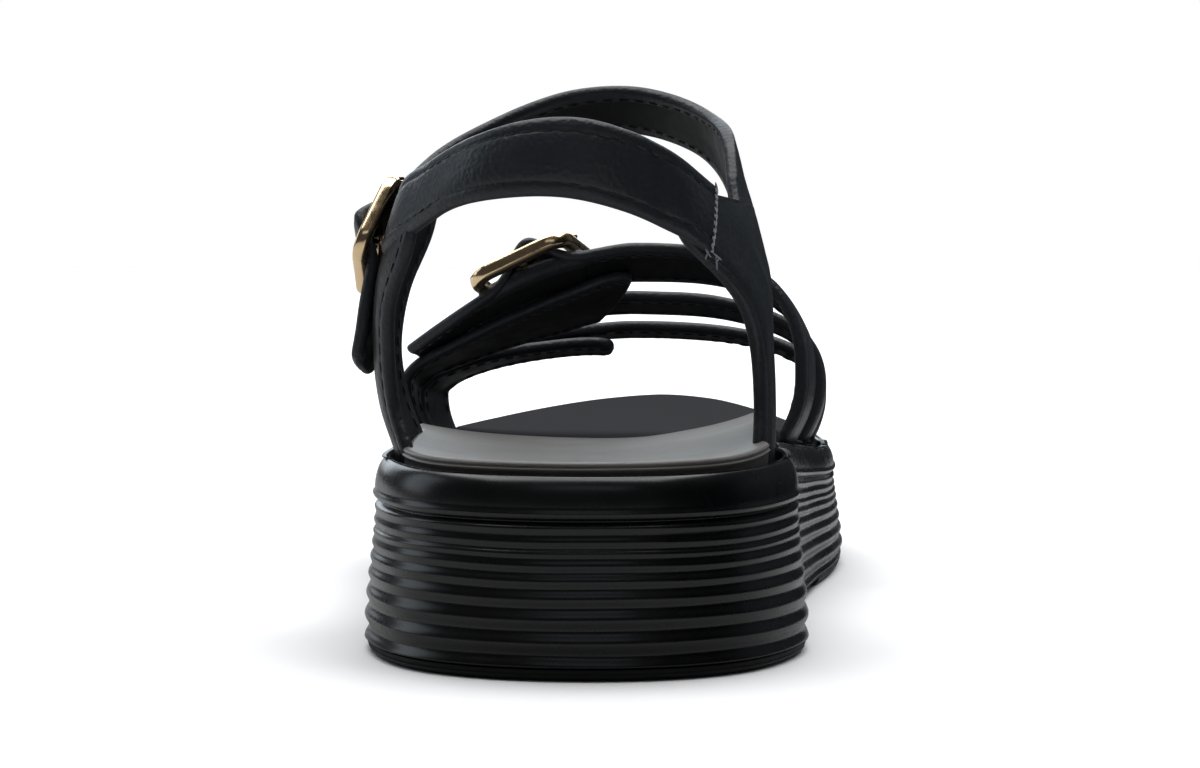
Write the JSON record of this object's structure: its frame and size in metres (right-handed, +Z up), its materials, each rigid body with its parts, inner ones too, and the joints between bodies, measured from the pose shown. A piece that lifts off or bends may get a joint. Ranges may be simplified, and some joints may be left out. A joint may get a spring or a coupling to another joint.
{
  "type": "gladiator sandal",
  "caption": "Left black leather strap sandal on a ribbed platform sole, with a padded footbed, crossing forefoot straps, a heel strap and gold buckles.",
  "frame": {"origin": "on the floor under the centre of the heel seat, 36 mm ahead of the heel back", "axes": "+Y from heel to toe, +X to the inner (medial) side of this left sandal, +Z up"},
  "size_m": [0.0906, 0.2493, 0.095],
  "materials": {
    "strap_leather": "fine-grained satin black leather with folded edges",
    "lining_leather": "smooth matt black lining leather",
    "footbed_leather": "soft padded dark leather, semi-gloss where it grazes the light",
    "platform_foam": "satin black moulded foam with soft ribs",
    "outsole_rubber": "matt black rubber",
    "buckle_gold": "polished pale gold plating",
    "thread": "black sewing thread, with a paler zigzag seam"
  },
  "bodies": {
    "root": {"outsole": "outsole_rubber", "platform": "platform_foam", "footbed": "footbed_leather", "upper_ankle_straps": "strap_leather", "upper_instep_straps": "strap_leather", "upper_toe_straps": "strap_leather", "instep_buckle_frame": "buckle_gold", "instep_buckle_prong": "buckle_gold", "ankle_buckle_frame": "buckle_gold", "ankle_buckle_prong": "buckle_gold"}
  },
  "joints": []
}
